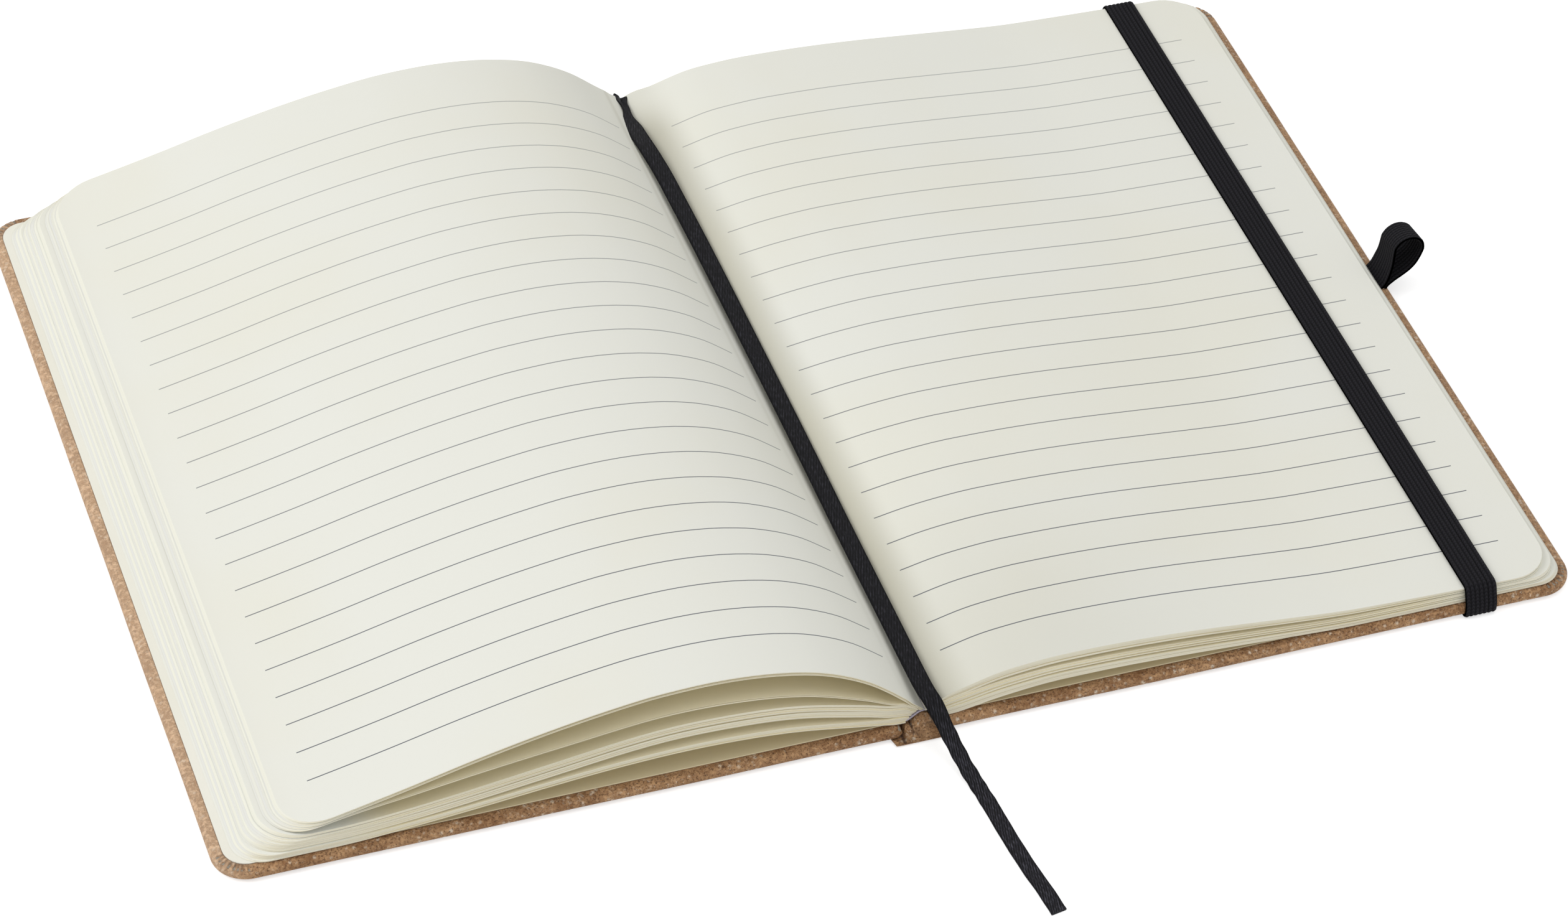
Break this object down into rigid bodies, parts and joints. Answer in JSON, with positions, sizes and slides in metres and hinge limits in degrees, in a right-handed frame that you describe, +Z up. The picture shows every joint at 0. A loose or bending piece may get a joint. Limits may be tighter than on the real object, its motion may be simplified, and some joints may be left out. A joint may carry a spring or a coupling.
{
  "type": "hardback ruled notebook",
  "caption": "Ruled hardback notebook lying open, with a leather cover, elastic closure band, pen loop and ribbon marker.",
  "frame": {"origin": "on the underside of the spine, half way along it, where the notebook rests on a table", "axes": "+X across the open covers, towards the back cover's fore edge; +Y along the spine, towards the head of the pages; +Z up"},
  "size_m": [0.3001, 0.2621, 0.0264],
  "materials": {
    "leather": "matt, mottled",
    "board": "matt",
    "endpaper": "smooth, matt",
    "leaves": "smooth, matt, ruled",
    "lining": "matt",
    "elastic": "ribbed",
    "ribbon": "satin"
  },
  "bodies": {
    "back": {"back_board": "board", "back_leather": "leather", "back_endpaper": "endpaper", "spine_strip": "board", "spine_leather": "leather", "spine_lining": "lining", "right_leaves": "leaves", "closure_band": "elastic", "pen_loop": "elastic", "ribbon_marker": "ribbon"},
    "front": {"front_board": "board", "front_leather": "leather", "front_endpaper": "endpaper", "left_leaves": "leaves"}
  },
  "joints": [
    {"name": "cover_hinge", "type": "hinge", "parent": "back", "child": "front", "pos_m": [0.001, 0, 0.0076], "axis": [0, 1, 0], "range_deg": [0, 105], "deforming": ["spine_leather", "spine_lining", "ribbon_marker"]}
  ]
}
